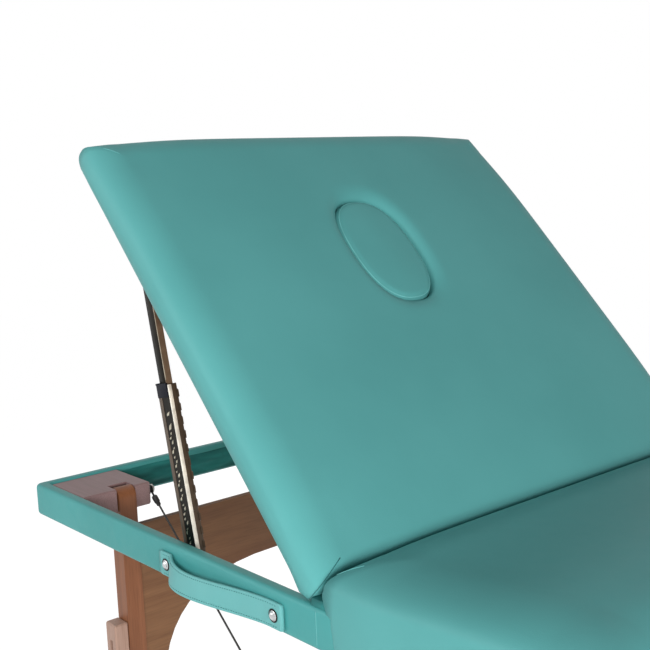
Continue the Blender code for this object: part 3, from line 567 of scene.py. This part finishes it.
def cushion(name, low, high, top_round, corner, drop, wrap, body, under=0.0, hole=None, roll=None,
            fall=(0.009, 0.055), lean=0.0, darts=(), matrix=None, tight=0.0):
    """A foam pad in vinyl. low and high are its corners without the crown, top_round is (width, height).

    drop(x, ways) is how far its side hangs below the pad's base, wrap how far the vinyl is turned in there,
    and under how far the side is drawn in towards its base. hole is an oval, as (centre x, half length,
    half width). roll is (how far, how deep) its top dips to the -X end, and fall (how deep, how far) its top
    does at the corners. lean is how far its -X end is drawn in at the base, and tight how much narrower its
    top edge is rounded at the +X end. darts are (end, rows, look, radius).
    """
    low = np.array(low)
    high = np.array(high)
    bases, ways = rounded_outline(low[:2], high[:2], corner)
    square = 1 / np.max(np.abs(ways), axis=1) - 1
    middle = (low + high) / 2
    half = (high - low) / 2

    def at(inset, sharp=0.0):
        reach = corner * (1 + sharp * square) - inset
        return bases + np.broadcast_to(reach, len(bases))[:, None] * ways

    def crown(plan):
        a = (plan[:, 0] - middle[0]) / half[0]
        b = (plan[:, 1] - middle[1]) / half[1]
        rise = CROWN * np.clip(1 - a ** 4, 0, 1) * np.clip(1 - b ** 4, 0, 1)
        from_end = half[0] - np.abs(plan[:, 0] - middle[0])
        from_side = half[1] - np.abs(plan[:, 1] - middle[1])
        rise = rise - fall[0] * np.exp(-(from_end ** 2 + from_side ** 2) / (2 * fall[1] ** 2))
        if roll:
            away = np.clip((plan[:, 0] - low[0] - top_round[0]) / roll[0], 0, 1)
            rise = rise - roll[1] * (1 - away * away * (3 - 2 * away))
        return rise

    def ring(plan, z):
        return np.column_stack((plan, np.broadcast_to(z, len(plan))))

    def top_at(inset, sharp=0.0):
        plan = at(inset, sharp)
        plan[:, 0] += tight * inset * np.clip(ways[:, 0], 0, 1)
        return plan

    edge = top_at(top_round[0])
    rise = crown(edge)
    rings = []
    inner = []
    if hole:
        centre, length, width = hole
        turn = np.arctan2(edge[:, 1], (edge[:, 0] - centre) * width / length)
        start = oval(turn, length, width)
        inner = [ring(start, z) for z in (low[2], low[2] + 0.012, high[2] - 0.020)]
        shares = [0, 0.004, 0.010, 0.018, 0.028, 0.042, 0.06, 0.085, 0.12, 0.16, *np.linspace(0.22, 0.97, 16)]
    else:
        start = np.tile(middle[:2], (len(edge), 1))
        shares = np.linspace(0.06, 0.97, 22)
    for share in shares:
        plan = start + (edge - start) * share
        z = high[2] + crown(plan)
        if hole:
            along = np.abs((plan[:, 0] - centre) / length) ** OVAL_POWER
            across = np.abs(plan[:, 1] / width) ** OVAL_POWER
            reach = ((along + across) ** (1 / OVAL_POWER) - 1) * HOLE_RADIUS
            lip = np.clip(1 - reach / HOLE_LIP_WIDTH, 0, 1)
            z = z - HOLE_LIP_DEPTH * (1 - np.sqrt(np.clip(1 - lip ** 2, 0, 1)))
        rings.append(ring(plan, z))
    top_rows = len(rings)
    for turn in arc(12, True):
        inset = top_round[0] * (1 - math.sin(turn))
        z = high[2] + rise - top_round[1] * (1 - math.cos(turn))
        rings.append(ring(top_at(inset, SHOULDER_FILL * math.sin(turn)), z))
    fall_to = drop(at(0, SHOULDER_FILL)[:, 0], ways)
    base = low[2] - fall_to
    shoulder = high[2] - top_round[1] + rise
    draw = under * (1 - np.clip(ways[:, 0], 0, 1) ** 2)

    def side(inset, sharp, share):
        plan = at(inset, sharp)
        plan[:, 0] += lean * share * np.exp(-(plan[:, 0] - low[0]) / 0.02)
        return plan

    for share in np.linspace(0.10, 0.94, 10):
        swell = SIDE_SWELL * math.sin(math.pi * share)
        fill = SHOULDER_FILL + (BASE_FILL - SHOULDER_FILL) * share
        plan = side(draw * share ** 1.8 - swell, fill, share)
        rings.append(ring(plan, shoulder + (base - shoulder) * share))
    turn_in = np.where(fall_to > 0.001, wrap, draw + 0.0022)
    hem = (
        (draw + 0.0002, base + 0.0010), (draw + 0.0012, base), (turn_in, base),
        (turn_in + 0.0006, np.maximum(base, low[2])),
    )
    for inset, z in hem:
        rings.append(ring(side(inset, BASE_FILL, 1), z))
    if hole:
        for share in (0.7, 0.4):
            rings.append(ring(start + (at(draw + 0.004) - start) * share, low[2]))
        mesh = skin(name, inner + rings, None, True)
    else:
        tips = ((*middle[:2], high[2] + crown(middle[None, :2])[0]), (*middle[:2], low[2]))
        mesh = skin(name, rings, tips)
    if matrix:
        mesh.transform(matrix)
    pad = piece(name, mesh, "vinyl", body)

    # Darts are sewn down the corners of one end
    matrix = matrix or Matrix()
    for end, rows, look, radius in darts:
        for where, across in SIDES.items():
            index = int(np.argmax(ways @ np.array((end, across))))
            lift = Vector((*ways[index], 1)) * 0.00015
            sewn = rings[top_rows + rows[0]:top_rows + rows[1]]
            line = [matrix @ (Vector(r[index]) + lift) for r in sewn]
            half_name = "head" if end < 0 else "foot"
            tube(f"{name}_{half_name}_{where}_dart", line, radius, look, body, 6)
    return pad


def cushions():
    """The pads of the backrest, the seat and the foot half."""
    back_length = 0.611
    back_side = 0.3505
    past_hinge = 0.0135
    board_edge = 0.0080
    deck_room = 0.0140
    seat_start = -0.3575
    seat_round = (0.080, 0.030)
    seat_corner = 0.082
    turned_in = PAD_OVERHANG - 0.0003
    gap = 0.0012
    # Short corner darts in lighter teal, a painted highlight on their creases
    fine_dart = ((5, 9), "thread", 0.0003)

    def board_drop(x, ways):
        """Covers the board's edge, rests on the rail at its lower tips and clears the deck between."""
        middle = board_edge - deck_room * np.clip((x + 0.007) / 0.010, 0, 1)
        on_rail = (RAIL_TOP + 0.0006 - HINGE_Z + x * math.sin(TILT)) / math.cos(TILT)
        tip = BACK_PAD_BOTTOM - np.maximum(BACK_PAD_BOTTOM - board_edge, on_rail)
        share = np.clip((0.95 - ways[:, 0]) / 0.12, 0, 1)
        return middle + (tip - middle) * share

    def rail_drop(_, ways):
        """Covers the rails along both sides."""
        return np.where(np.abs(ways[:, 1]) > 0.75, PAD_BOTTOM - RAIL_BOTTOM - 0.0015, 0.0)

    top = BACK_PAD_BOTTOM + PAD_THICKNESS
    # The backrest's hinge-end darts are dark seams, and its head-end darts are lighter teal as a painted
    # highlight
    back = cushion(
        "backrest_cushion", (-back_length, -back_side, BACK_PAD_BOTTOM), (past_hinge, back_side, top),
        top_round=(0.045, 0.026), corner=0.047, drop=board_drop, wrap=0.0124, body="backrest", under=0.0105,
        hole=FACE_HOLE, fall=(0.0095, 0.066), tight=0.55, matrix=BACKREST,
        darts=((1, (2, 25), "seam", 0.00055), (-1, (2, 6), "thread", 0.0003)),
    )
    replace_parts(back, "backrest_pad")
    side = SIDE_FACE + PAD_OVERHANG
    top = PAD_BOTTOM + PAD_THICKNESS
    seat = cushion(
        "seat_cushion", (seat_start, -side, PAD_BOTTOM), (-gap, side, top), seat_round, seat_corner,
        drop=rail_drop, wrap=turned_in, body="head_half", roll=(0.170, 0.0082),
        fall=(0.012, 0.060), lean=0.0040, darts=((-1, *fine_dart),),
    )
    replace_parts(seat, "seat_pad")
    foot = cushion(
        "foot_cushion", (gap, -side, PAD_BOTTOM), (HALF_LENGTH, side, top), seat_round, seat_corner,
        drop=rail_drop, wrap=turned_in, body="foot_half", darts=((1, *fine_dart),),
    )
    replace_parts(foot, "foot_pad")


def seat_deck():
    """The seat's plywood deck. Its corners under the backrest are cut away, with vinyl in painted shade over
    the cuts.
    """
    low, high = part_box("seat_deck")
    x_cut = low.x + 0.0145
    y_cut = high.y - 0.0215
    wrap_reach = 0.0400
    seam_low = RAIL_BOTTOM + 0.004
    seam_height = 0.0375
    outline = [
        (low.x, -y_cut), (x_cut, -y_cut), (x_cut, low.y), (high.x, low.y),
        (high.x, high.y), (x_cut, high.y), (x_cut, y_cut), (low.x, y_cut),
    ]
    shape = bmesh.new()
    foot = shape.faces.new([shape.verts.new((x, y, low.z)) for x, y in outline])
    made = bmesh.ops.extrude_face_region(shape, geom=[foot])
    for vertex in (v for v in made["geom"] if isinstance(v, bmesh.types.BMVert)):
        vertex.co.z = high.z
    bmesh.ops.bevel(shape, geom=shape.edges[:], offset=0.0008, segments=2, affect="EDGES", profile=0.5)
    bmesh.ops.recalc_face_normals(shape, faces=shape.faces)
    mesh = bpy.data.meshes.new("seat_deck_board")
    shape.to_mesh(mesh)
    shape.free()
    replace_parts(piece("seat_deck_board", mesh, "plywood", "head_half", False), "seat_deck")

    # The vinyl of each rail is joined just in front of the seat
    for where, across in SIDES.items():
        y_low, y_high = sorted((across * (y_cut - 0.0010), across * (high.y + 0.0004)))
        wrap_low = (x_cut - 0.0006, y_low, low.z - 0.0008)
        wrap_high = (x_cut + wrap_reach, y_high, high.z + 0.0006)
        # Each wrap is dark teal, a painted shadow in the gap between the backrest's tip and the seat
        block(f"{where}_deck_wrap", wrap_low, wrap_high, "painted_shade", "head_half", 0.0018, 3)
        seam_x = HINGE_X + 0.0285
        seam_y = across * (SIDE_FACE - 0.0001)
        line = [(seam_x, seam_y, seam_low + seam_height * k / 10) for k in range(11)]
        tube(f"{where}_rail_seam", line, 0.0004, "strap", "head_half", 6)


def face_plug():
    """The oval plug, with a soft edge and a seam round its top, lighter as a painted highlight on its rim."""
    centre, length, width = FACE_HOLE
    gap = 0.0010
    length -= gap
    width -= gap
    base = BACK_PAD_BOTTOM + 0.0005
    top = BACK_PAD_BOTTOM + PAD_THICKNESS - 0.0012
    edge = 0.013
    turns = np.linspace(0, 2 * math.pi, 120, endpoint=False)

    def ring(inset, z):
        return np.column_stack((oval(turns, length - inset, width - inset), np.full(len(turns), z)))

    rings = [ring(0.0, base), ring(0.0, top - edge)]
    rings += [ring(edge * 0.9 * (1 - math.cos(t)), top - edge * (1 - math.sin(t))) for t in arc(8)]
    for share in (0.25, 0.5, 0.75):
        rings.append(ring(edge + (width - edge) * share, top + 0.0022 * math.sin(share * math.pi / 2)))
    tips = ((centre, 0, base), (centre, 0, top + 0.0024))
    mesh = skin("face_plug_cushion", rings, tips)
    mesh.transform(BACKREST)
    plug = piece("face_plug_cushion", mesh, "vinyl", "face_plug")
    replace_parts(plug, "face_plug")
    line = [BACKREST @ Vector(p) for p in ring(edge * 0.30, top - edge * 0.29)]
    tube("face_plug_seam", line, 0.0008, "thread", "face_plug", 6, True)


def foot_deck_edging():
    """A vinyl strip over the edge of the foot deck at the end of the table."""
    low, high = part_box("foot_deck")
    block("foot_deck_edging", (high.x - 0.0004, low.y + 0.001, low.z - 0.0004),
          (high.x + 0.0012, high.y - 0.001, high.z + 0.0004), "wrapped", "foot_half", 0.0006, 2)


cushions()
seat_deck()
foot_deck_edging()
face_plug()


# Rails wrapped in vinyl

def wrapped_frame(half, side):
    """One U of side rail, end rail and side rail, wrapped in one skin with soft edges."""
    corner = 0.009
    inner_corner = 0.003
    soft = 0.0055
    skin_inset = 0.0002
    fold_gap = 0.0037
    start = side * fold_gap

    def path(x_end, y_side, radius):
        x_bend = x_end - side * radius
        y_bend = y_side - radius
        turns = [math.pi / 2 * k / 8 for k in range(9)]
        there = [(start + (x_bend - start) * k / 40, -y_side) for k in range(40)]
        near = [(x_bend + side * radius * math.sin(t), -y_bend - radius * math.cos(t)) for t in turns]
        cross = [(x_end, -y_bend + 2 * y_bend * k / 30) for k in range(1, 30)]
        far = [(x_bend + side * radius * math.cos(t), y_bend + radius * math.sin(t)) for t in turns]
        back = [(x_bend + (start - x_bend) * k / 40, y_side) for k in range(1, 41)]
        return np.array(there + near + cross + far + back)

    outer = path(side * (HALF_LENGTH - skin_inset), SIDE_FACE - skin_inset, corner)
    inner = path(side * END_INNER, SIDE_INNER, inner_corner)
    section = []
    for turn in arc(4, True):
        section.append((soft * (1 - math.sin(turn)), RAIL_TOP - soft * (1 - math.cos(turn))))
    rings = []
    for o, i in zip(outer, inner):
        across = (i - o) / np.linalg.norm(i - o)
        ring = []
        for inset, z in section:
            ring.append((*(o + across * inset), z))
        for inset, z in reversed(section):
            ring.append((*(o + across * inset), RAIL_TOP + RAIL_BOTTOM - z))
        for inset, z in section:
            ring.append((*(i - across * inset), RAIL_TOP + RAIL_BOTTOM - z))
        for inset, z in reversed(section):
            ring.append((*(i - across * inset), z))
        rings.append(ring)
    ends = [np.mean(np.array(rings[k]), axis=0) for k in (0, -1)]
    mesh = skin(f"{half}_frame_cover", rings, ends)
    cover = piece(f"{half}_frame_cover", mesh, "wrapped", f"{half}_half")
    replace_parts(cover, f"{half}_near_rail", f"{half}_far_rail", f"{half}_end_rail")


for half, side in HALVES.items():
    wrapped_frame(half, side)


# Carrying straps

def strap(half, side):
    """A soft strap between two tabs on the near rail, bowed out most near its -X tab and hanging a little."""
    reach = 0.119
    tab = 0.025
    thickness = 0.0038
    half_height = 0.0150
    waist = 0.0015
    edge = 0.0016
    end_trim = 0.0012
    bow = 0.0130
    droop = 0.0055
    bow_lean = 0.30
    stitch_inset = 0.0034
    stitch_size = 0.00045
    screw_inset = 0.014
    steps = 60
    middle = side * HANDLE_FROM_FOLD
    face = -SIDE_FACE - (0.0003 if half == "head" else 0.0034)
    centre = RAIL_BOTTOM + 0.019
    bow_reach = reach - tab
    spots = []
    for k in range(steps + 1):
        x = -reach + 2 * reach * k / steps
        share = min(max((x + bow_reach) / (2 * bow_reach), 0), 1)
        swell = math.sin(math.pi * share ** 0.5) ** 1.3 if 0 < share < 1 else 0.0
        spots.append((middle + x, face - thickness / 2 - bow * swell, centre - droop * swell, swell))
    rings = []
    frames = []
    for i, (x, y, z, swell) in enumerate(spots):
        before = spots[max(i - 1, 0)]
        after = spots[min(i + 1, steps)]
        run = Vector((after[0] - before[0], after[1] - before[1], 0)).normalized()
        out = Vector((run.y, -run.x, 0))
        lean = bow_lean * swell
        upward = Vector((0, 0, 1)) * math.cos(lean) - out * math.sin(lean)
        outward = out * math.cos(lean) + Vector((0, 0, 1)) * math.sin(lean)
        tall = half_height - waist * swell
        if i in (0, steps):
            tall -= end_trim
        thick = thickness / 2
        place = Vector((x, y, z))
        frames.append((place, upward, outward, tall, thick))
        ring = []
        for quarter, (su, so) in enumerate(((1, 1), (-1, 1), (-1, -1), (1, -1))):
            for k in range(5):
                turn = math.pi / 2 * (k / 4)
                if quarter % 2 == 0:
                    c, d = math.cos(turn), math.sin(turn)
                else:
                    c, d = math.sin(turn), math.cos(turn)
                u = su * (tall - edge + edge * c)
                o = so * (thick - edge + edge * d)
                ring.append(place + upward * u + outward * o)
        rings.append(ring)
    ends = (frames[0][0], frames[-1][0])
    name = f"{half}_strap"
    body = f"{half}_half"
    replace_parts(piece(name, skin(name, rings, ends), "strap", body), f"{half}_handle")

    # Two rows of stitches along the strap's outer face
    stitches = []
    for row in (1, -1):
        for k in range(2, steps - 2):
            place, upward, outward, tall, thick = frames[k]
            ahead = frames[k + 1][0] - place
            a = place + upward * row * (tall - stitch_inset) + outward * (thick + 0.00005)
            b = a + ahead * 0.66
            width = upward * stitch_size
            height = outward * stitch_size
            corners = [
                a, a + ahead * 0.15 + width, b - ahead * 0.1 + width,
                b, b - ahead * 0.1 - width, a + ahead * 0.15 - width,
            ]
            crest = [a + ahead * 0.18 + height, b - ahead * 0.12 + height]
            mesh = bpy.data.meshes.new("stitch")
            mesh.from_pydata(
                corners + crest, [],
                [(0, 1, 6), (1, 2, 7, 6), (2, 3, 7), (3, 4, 7), (4, 5, 6, 7), (5, 0, 6), (0, 5, 4, 3, 2, 1)],
            )
            stitches.append(mesh)
    joined(f"{half}_strap_stitching", stitches, "seam", body)

    # A dome screw and its washer hold each tab
    for number, x in enumerate((-reach + screw_inset, reach - screw_inset)):
        place = (middle + x, face - thickness - 0.0001, centre)
        dome = [
            (0.0058, 0), (0.0058, 0.0006), (0.0046, 0.0007), (0.0045, 0.0014),
            (0.0039, 0.0024), (0.0027, 0.0031), (0.0010, 0.0034),
        ]
        turned(f"{half}_strap_screw_{number}", dome, place, (0, -1, 0), "zinc", body)
        # The washer's dark ring is partly the washer and partly painted shadow round the screw
        ring = [(0.0074, 0), (0.0076, 0.0003), (0.0070, 0.0006), (0.0058, 0.0006)]
        turned(f"{half}_strap_washer_{number}", ring, place, (0, -1, 0), "shaded_steel", body)


for half, side in HALVES.items():
    strap(half, side)


# Struts

STRUT_FOOT = Vector((-0.634, 0, 0.619))
STRUT_SIDE = 0.31245
STRUT_LEAN = math.radians(78.02274 - 90)
CHANNEL_HALF_DEPTH = 0.01225
CHANNEL_HALF_WIDTH = 0.00625
CHANNEL_SPAN = (-0.009, 0.2065)
BAR_SPAN = (0.200, 0.345)
TOOTH_PITCH = 0.0058
LARGE_TEETH = (24, 27)
NOTCHES = 12
NOTCH_PITCH = 0.0168


def strut_trim(where, across):
    """A strut's fold in painted highlight, punched face, serrated edge and black end cap, its faces toned as
    painted reflections.
    """
    foot = STRUT_FOOT + Vector((0, across * STRUT_SIDE, 0))
    matrix = Matrix.Translation(foot) @ Matrix.Rotation(STRUT_LEAN, 4, "Y")
    channels = "strut_channels"
    bars = "strut_bars"
    deep = CHANNEL_HALF_DEPTH
    wide = CHANNEL_HALF_WIDTH

    def box(name, look, body, edge, x, y, z):
        y = sorted((across * y[0], across * y[1]))
        block(f"{where}_{name}", (x[0], y[0], z[0]), (x[1], y[1], z[1]), look, body, edge, 2, matrix)

    def prism(profile, y_low, y_high, taper=1.0):
        profile = np.array(profile)
        middle = np.mean(profile, axis=0)
        low = [matrix @ Vector((x, across * y_low, z)) for x, z in profile]
        high = [matrix @ Vector((x, across * y_high, z)) for x, z in middle + (profile - middle) * taper]
        count = len(profile)
        mesh = bpy.data.meshes.new("prism")
        faces = [tuple(range(count)), tuple(range(count, 2 * count))]
        faces += [(i, (i + 1) % count, count + (i + 1) % count, count + i) for i in range(count)]
        mesh.from_pydata(low + high, [], faces)
        return tidy(mesh)

    # A pale strip along the channel's fold, a painted highlight on its rounded edge
    box("channel_fold", "fold_highlight", channels, 0.0009,
        x=(deep - 0.0008, deep + 0.0013), y=(wide - 0.0050, wide + 0.0002), z=CHANNEL_SPAN)
    # The +X face and the lip on the near face are toned dark brown, a painted reflection
    box("channel_back", "brown_reflection", channels, 0.0003,
        x=(deep - 0.0008, deep + 0.0004), y=(-wide, wide - 0.0046), z=CHANNEL_SPAN)
    box("channel_lip", "brown_reflection", channels, 0.0004,
        x=(-deep - 0.0003, -deep + 0.0070), y=(wide - 0.0006, wide + 0.0005), z=(CHANNEL_SPAN[0], 0.194))
    # A dark strip on the bar's near face, painted shade in place of its bright reflection
    box("bar_face", "shaded_steel", bars, 0.0002, x=(-0.0076, 0.0064), y=(0.0038, 0.0047), z=BAR_SPAN)
    # A light line down the bar's edge, a painted highlight
    line = [matrix @ Vector((0.0072, across * 0.0041, 0.212 + 0.130 * k / 16)) for k in range(17)]
    tube(f"{where}_bar_edge", line, 0.0005, "line", bars, 8)

    # Punched ratchet teeth in painted highlight, uneven glints with two larger ones at the top
    glints = []
    for k in (*range(LARGE_TEETH[0]), *LARGE_TEETH):
        large = 1.5 if k in LARGE_TEETH else 1.0
        x = 0.0010 + 0.0024 * math.sin(1.9 * k + 0.6) / large
        z = 0.012 + TOOTH_PITCH * k
        half = (0.0019 + 0.0006 * math.sin(2.4 * k)) * large
        tall = (0.0046 + 0.0016 * math.sin(3.7 * k)) * large
        profile = [
            (x - half, z), (x + half * 0.4, z + tall * 0.2),
            (x + half, z + tall), (x - half * 0.5, z + tall * 0.7),
        ]
        glints.append(prism(profile, wide + 0.0001, wide + 0.0009, 0.5))
    joined(f"{where}_ratchet_teeth", glints, "glint", channels).data.shade_flat()

    # Notches of uneven depth along the free edge of the fold, in the same painted-reflection brown
    notches = []
    for k in range(NOTCHES):
        z = 0.004 + NOTCH_PITCH * k
        base = deep - 0.001
        out = deep + 0.0014 + 0.0005 * (k % 3)
        profile = [(base, z), (out, z + 0.0014), (out, z + 0.0096), (base, z + 0.0116)]
        notches.append(prism(profile, -wide - 0.0002, -wide + 0.0022))
    joined(f"{where}_ratchet_notches", notches, "brown_reflection", channels).data.shade_flat()

    box("strut_cap", "cap", channels, 0.0006,
        x=(-deep - 0.0004, deep - 0.0012), y=(wide - 0.001, wide + 0.0014), z=(0.1915, 0.2086))
    box("strut_cap_end", "cap", channels, 0.0006,
        x=(-deep - 0.0012, -0.0080), y=(-wide - 0.0002, wide + 0.0016), z=(0.2073, 0.2096))

    # The pin that the strut swings on, through the rail's inner face
    pin = [(0.0039, 0), (0.0039, 0.0128), (0.0062, 0.0129), (0.0062, 0.0140), (0.0020, 0.0146)]
    start = STRUT_FOOT + Vector((0, across * (SIDE_INNER + 0.001), 0))
    turned(f"{where}_strut_pin", pin, start, (0, -across, 0), "zinc", "head_half")


for where, across in SIDES.items():
    strut_trim(where, across)


# Stay cables

CABLE_RADIUS = 0.0015
BOLT_SIDE = {"head": 0.221, "foot": 0.197}
ANCHOR_SIDE = {"head": 0.222, "foot": 0.198}
ANCHOR_DROP = 0.520
BOLT_RADIUS = 0.0043
ANCHOR_RADIUS = 0.0033
FERRULE_FROM_END = 0.0085
NUT_FROM_CABLE = 0.0014


def stay(half, side, where, across):
    """A taut steel stay in a black jacket, from the end leg's bolt to the inner leg."""
    body = f"{half}_half"
    legs = f"{half}_inner_legs"
    bolt = Vector((side * END_PIVOT[0], across * BOLT_SIDE[half], END_PIVOT[1]))
    anchor = Vector((side * INNER_PIVOT[0], across * ANCHOR_SIDE[half], INNER_PIVOT[1] - ANCHOR_DROP))
    run = (anchor - bolt).normalized()
    start = bolt + run * BOLT_RADIUS
    end = anchor - run * ANCHOR_RADIUS
    route = [start + (end - start) * k / 40 for k in range(41)]
    name = f"{half}_{where}_stay"
    cable = tube(name, route, CABLE_RADIUS, "cable", None, 8)
    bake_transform(cable)
    profile = [
        (0.0022, 0), (0.0040, 0.0012), (0.0043, 0.004), (0.0042, 0.011),
        (0.0033, 0.0125), (0.0031, 0.0165), (0.0018, 0.018),
    ]
    sleeve = run * FERRULE_FROM_END
    sleeves = [
        turned(f"{name}_top_ferrule", profile, start + sleeve, run, "black", body, 16),
        turned(f"{name}_foot_ferrule", profile, end - sleeve, -run, "black", legs, 16),
    ]
    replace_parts(cable, f"{half}_{where}_cable")
    dome = [
        (0.0066, 0), (0.0066, 0.0018), (0.0058, 0.0021), (0.0054, 0.0028),
        (0.0042, 0.0037), (0.0022, 0.0043), (0.0008, 0.0044),
    ]
    inboard = Vector((0, -across, 0))
    outboard = Vector((0, across, 0))
    collar = [(0.0088, 0), (0.0088, 0.0009), (0.0052, 0.0011), (0.0050, 0.0072), (0.0042, 0.0073)]
    turned(f"{name}_bolt_collar", collar, bolt - inboard * 0.0050, inboard, "black", body)
    turned(f"{name}_bolt_nut", dome, bolt + inboard * NUT_FROM_CABLE, inboard, "steel", body)
    turned(f"{name}_anchor_nut", dome, anchor + outboard * NUT_FROM_CABLE, outboard, "steel", legs)


for half, side in HALVES.items():
    for where, across in SIDES.items():
        stay(half, side, where, across)


# Vinyl in folds inside the end rails, coloured in painted shade

def folded_hem(half, side):
    """The vinyl's loose hem on the inner face of the end rail, in folds, from one leg's bolt to the other's.
    Its dark streaked colour is painted shade.
    """
    count = 120
    rows = 14
    reach = BOLT_SIDE[half]
    low_edge = RAIL_BOTTOM + 0.004
    height = 0.034

    # Each wave of the folds is (size, rate along the rail, rate up it, start)
    waves = ((1.0, 41, 5, 0.0), (0.7, 97, -9, 1.3), (0.5, 23, 14, 0.0))
    grid = []
    for i in range(count + 1):
        y = -reach + 2 * reach * i / count
        line = []
        for j in range(rows + 1):
            v = j / rows
            wave = sum(size * math.sin(along * y + up * v + first) for size, along, up, first in waves)
            lift = 0.0012 + 0.0011 * (wave + 2.2) * math.sin(math.pi * v)
            z = low_edge + height * v + 0.0014 * math.sin(31 * y + 0.4) * v
            line.append((side * (END_INNER - lift), y, z))
        back_x = side * (END_INNER - 0.0003)
        grid.append(line + [(back_x, y, line[-1][2]), (back_x, y, line[0][2])])
    ends = [np.mean(np.array(grid[k]), axis=0) for k in (0, -1)]
    mesh = skin(f"{half}_folded_hem", grid, ends)
    piece(f"{half}_folded_hem", mesh, "painted_shade", f"{half}_half")


for half, side in HALVES.items():
    folded_hem(half, side)


# Rubber feet and knob caps

FOOT_WALL = 0.0011
FOOT_CORNER = 0.004
KNOB_HEIGHT = 0.265

# An inner leg comes down to 10 mm above the floor when the table is at its lowest
FOOT_TOP = {"end": 0.0192, "inner": 0.0092}


def leg_trim(half, pair, where, across):
    """The rubber foot of one leg, open at its top, and the cap on its knob."""
    body = f"{half}_{pair}_{where}_extension"
    low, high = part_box(body)
    foot_low = (low.x - FOOT_WALL, low.y - FOOT_WALL)
    foot_high = (high.x + FOOT_WALL, high.y + FOOT_WALL)
    bases, ways = rounded_outline(foot_low, foot_high, FOOT_CORNER, 0.01, 4)
    top = FOOT_TOP[pair]
    wall = (
        (0.0009, 0.0002), (0.0, 0.0012), (0.0, top - 0.0022), (0.0003, top - 0.0002),
        (0.0013, top), (0.0014, top - 0.0012), (0.0014, 0.0010),
    )
    rings = []
    for inset, z in wall:
        plan = bases + (FOOT_CORNER - inset) * ways
        rings.append(np.column_stack((plan, np.full(len(plan), z))))
    centre = ((low.x + high.x) / 2, (low.y + high.y) / 2)
    name = f"{half}_{pair}_{where}_rubber_foot"
    mesh = skin(name, rings, ((*centre, 0.0002), (*centre, 0.0010)))
    piece(name, mesh, "rubber", body)

    knob = f"{half}_{pair}_{where}_knob"
    low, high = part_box(knob)
    out = across if pair == "end" else -across
    face = (high if out > 0 else low).y
    place = ((low.x + high.x) / 2, face, KNOB_HEIGHT)
    hub = [(0.0070, 0), (0.0068, 0.0012), (0.0056, 0.0020), (0.0034, 0.0021), (0.0032, 0.0012)]
    turned(f"{knob}_cap", hub, place, (0, out, 0), "zinc", knob)


for half in HALVES:
    for pair in FOOT_TOP:
        for where, across in SIDES.items():
            leg_trim(half, pair, where, across)
